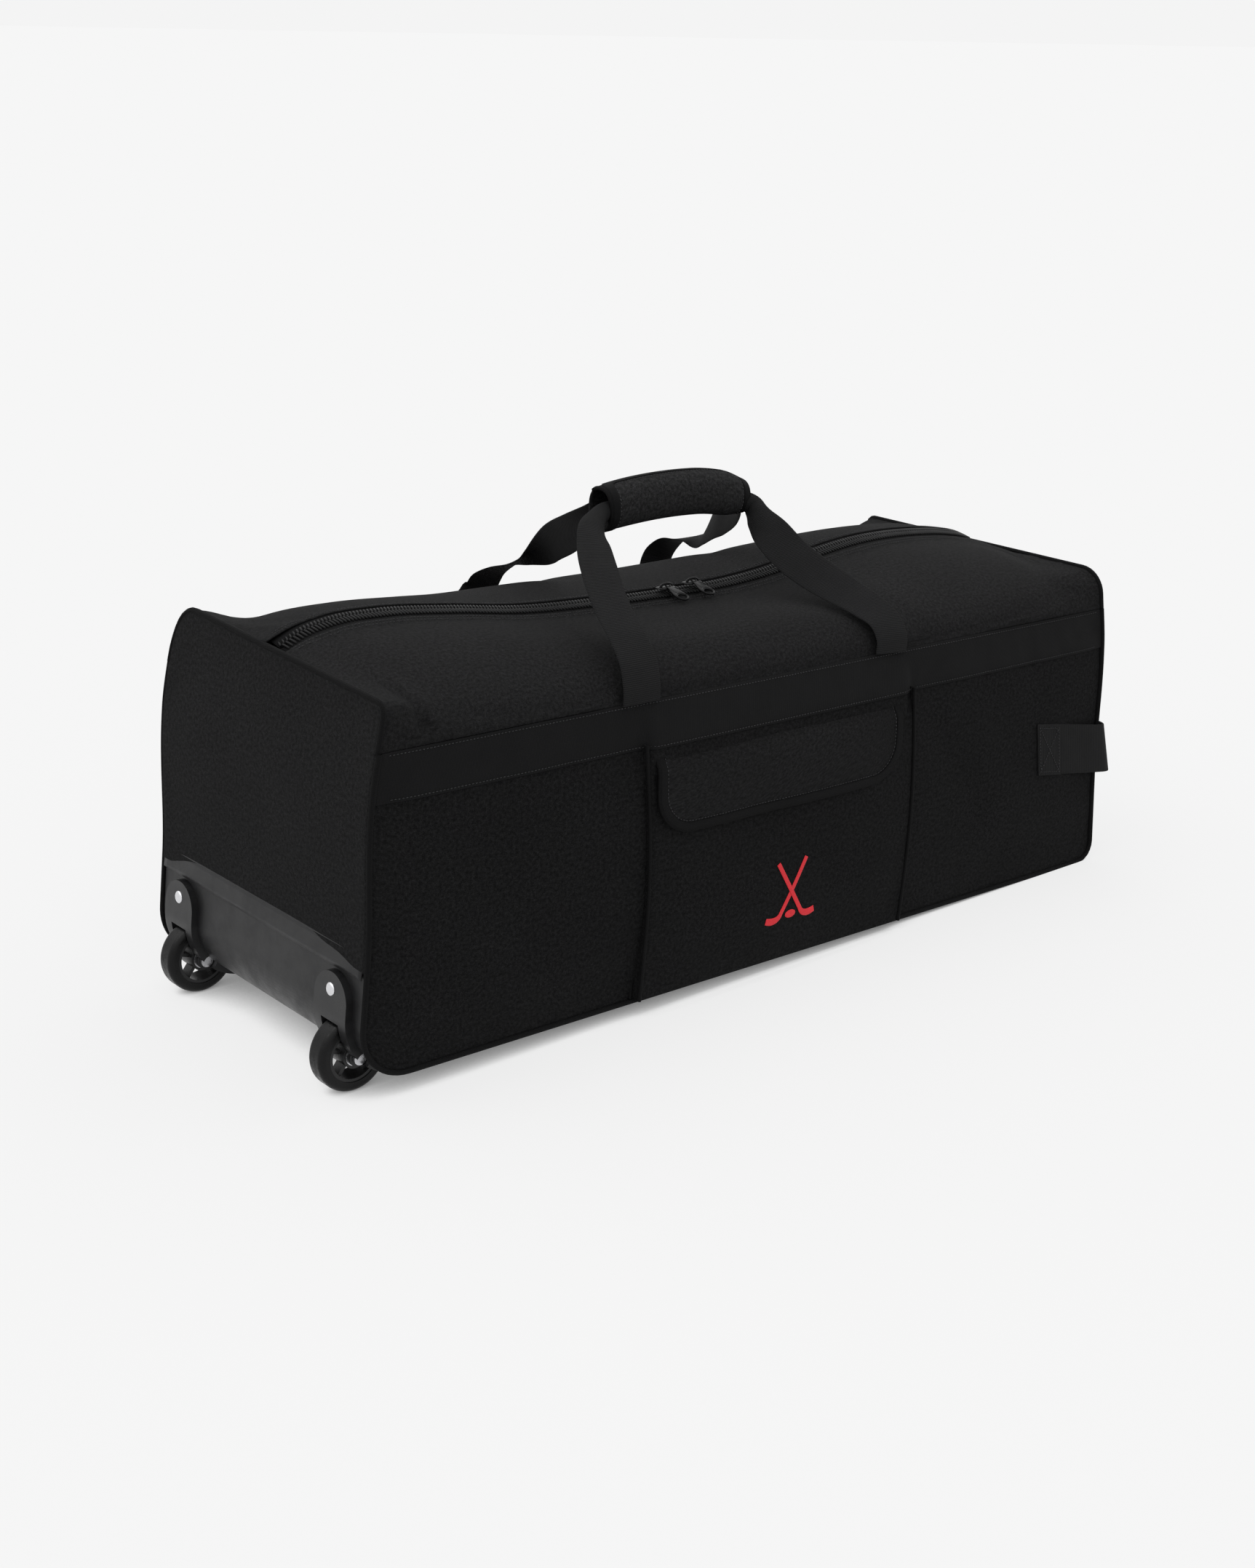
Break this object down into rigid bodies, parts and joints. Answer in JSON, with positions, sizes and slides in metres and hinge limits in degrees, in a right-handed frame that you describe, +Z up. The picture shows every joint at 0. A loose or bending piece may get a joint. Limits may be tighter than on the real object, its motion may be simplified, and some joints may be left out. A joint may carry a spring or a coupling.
{
  "type": "hockey equipment bag",
  "caption": "Long wheeled duffel for hockey gear with a centre zip, padded carry grip, front pocket with flap, moulded kick panel and an end haul handle.",
  "frame": {"origin": "on the floor, under the middle of the bag's overall box", "axes": "+X along the bag from the wheels to the far end, -Y out of the pocket side, +Z up. The bag stands on its two wheels and its far end, so its base slopes by 1.4 degrees"},
  "size_m": [1.1608, 0.4288, 0.5364],
  "materials": {
    "polyester": "matte plain-weave coated polyester, black",
    "webbing": "ribbed woven polyester webbing, black",
    "binding": "fine ribbed binding tape and piping, black",
    "kick_plate": "smooth semi-gloss moulded panel, dark grey",
    "board": "plain stiff plastic sheet",
    "housing": "moulded nylon with a soft shine, black",
    "tyre": "solid polyurethane tyre, black",
    "hub": "moulded spoked hub, dark grey",
    "steel": "zinc-plated steel",
    "rivet": "nickel-plated dome",
    "zip_coil": "coiled nylon teeth, black",
    "slider": "black enamelled zinc slider, worn at its edges",
    "padding": "padded polyester wrap, black",
    "hook_tape": "hook and loop tape, black",
    "mark": "flat red print"
  },
  "bodies": {
    "shell": {"front_panel": "polyester", "rear_panel": "polyester", "kick_panel": "kick_plate", "wheel_end_panel": "polyester", "base_panel": "polyester", "far_end_panel": "polyester", "base_board": "board", "piping_front": "binding", "piping_rear": "binding", "piping_wheel_end": "binding", "piping_far_end": "binding", "band_front": "webbing", "band_rear": "webbing", "wheel_housing_front": "housing", "wheel_housing_rear": "housing", "axle_front": "steel", "axle_rear": "steel", "housing_rivets": "rivet", "strap_tails": "webbing", "zip_end_tabs": "polyester", "pocket_panel": "polyester", "pocket_gussets": "polyester", "pocket_hook_strip": "hook_tape", "pocket_mark": "mark", "haul_patches": "webbing"},
    "wheel_front": {"tyre_front": "tyre", "hub_front": "hub", "bearings_front": "steel"},
    "wheel_rear": {"tyre_rear": "tyre", "hub_rear": "hub", "bearings_rear": "steel"},
    "top_front": {"top_front_panel": "polyester", "zip_tape_front": "binding", "zip_chain_front": "zip_coil", "strap_leads_front": "webbing"},
    "top_rear": {"top_rear_panel": "polyester", "zip_tape_rear": "binding", "zip_chain_rear": "zip_coil", "strap_leads_rear": "webbing"},
    "slider_left": {"slider_left": "slider"},
    "slider_right": {"slider_right": "slider"},
    "pull_left": {"pull_left": "slider"},
    "pull_right": {"pull_right": "slider"},
    "handle_front": {"handle_strap_front": "webbing", "grip_pad": "padding"},
    "handle_rear": {"handle_strap_rear": "webbing", "grip_cap": "padding"},
    "pocket_flap": {"flap_panel": "polyester", "flap_binding": "binding", "flap_loop_strip": "hook_tape"},
    "haul_handle": {"haul_strap": "webbing"}
  },
  "joints": [
    {"name": "wheel_front_spin", "type": "hinge", "parent": "shell", "child": "wheel_front", "pos_m": [-0.5404, -0.1466, 0.04], "axis": [0, 1, 0], "continuous": true},
    {"name": "wheel_rear_spin", "type": "hinge", "parent": "shell", "child": "wheel_rear", "pos_m": [-0.5404, 0.1574, 0.04], "axis": [0, 1, 0], "continuous": true},
    {"name": "top_front_open", "type": "hinge", "parent": "shell", "child": "top_front", "pos_m": [0.00721, -0.1974, 0.34784], "axis": [0.9997, 0, -0.0242], "range_deg": [0, 60]},
    {"name": "top_rear_open", "type": "hinge", "parent": "shell", "child": "top_rear", "pos_m": [0.00721, 0.2082, 0.34784], "axis": [0.9997, 0, -0.0242], "range_deg": [-60.05, 0]},
    {"name": "slider_left_run", "type": "slide", "parent": "top_front", "child": "slider_left", "axis": [-0.9961, 0, 0.0883], "range_m": [0, 0.3305]},
    {"name": "slider_right_run", "type": "slide", "parent": "top_front", "child": "slider_right", "axis": [0.9992, 0, 0.04], "range_m": [0, 0.3305]},
    {"name": "pull_left_flip", "type": "hinge", "parent": "slider_left", "child": "pull_left", "pos_m": [-0.00099, 0.0054, 0.40608], "axis": [-0.9961, 0, 0.0883], "range_deg": [0, 160]},
    {"name": "pull_right_flip", "type": "hinge", "parent": "slider_right", "child": "pull_right", "pos_m": [0.03824, 0.0054, 0.40642], "axis": [-0.9992, 0, -0.04], "range_deg": [0, 160]},
    {"name": "handle_front_swing", "type": "hinge", "parent": "top_front", "child": "handle_front", "pos_m": [0.00818, -0.18647, 0.38769], "axis": [0.9997, 0, -0.0242], "range_deg": [0, 120]},
    {"name": "handle_rear_swing", "type": "hinge", "parent": "top_rear", "child": "handle_rear", "pos_m": [0.00818, 0.19727, 0.38769], "axis": [0.9997, 0, -0.0242], "range_deg": [-120.1, 0]},
    {"name": "pocket_flap_lift", "type": "hinge", "parent": "shell", "child": "pocket_flap", "pos_m": [0.00599, -0.1971, 0.29735], "axis": [-0.9997, 0, 0.0242], "range_deg": [0, 90]},
    {"name": "haul_handle_lift", "type": "hinge", "parent": "shell", "child": "haul_handle", "pos_m": [0.47296, 0.0054, 0.16651], "axis": [0, -1, 0], "range_deg": [0, 30]}
  ],
  "couplings": [
    {"joint": "top_rear_open", "follows": "top_front_open", "ratio": -1},
    {"joint": "slider_left_run", "follows": "top_front_open", "m_per_rad": 0.31513},
    {"joint": "slider_right_run", "follows": "top_front_open", "m_per_rad": 0.31513},
    {"joint": "handle_rear_swing", "follows": "handle_front_swing", "ratio": -1}
  ]
}
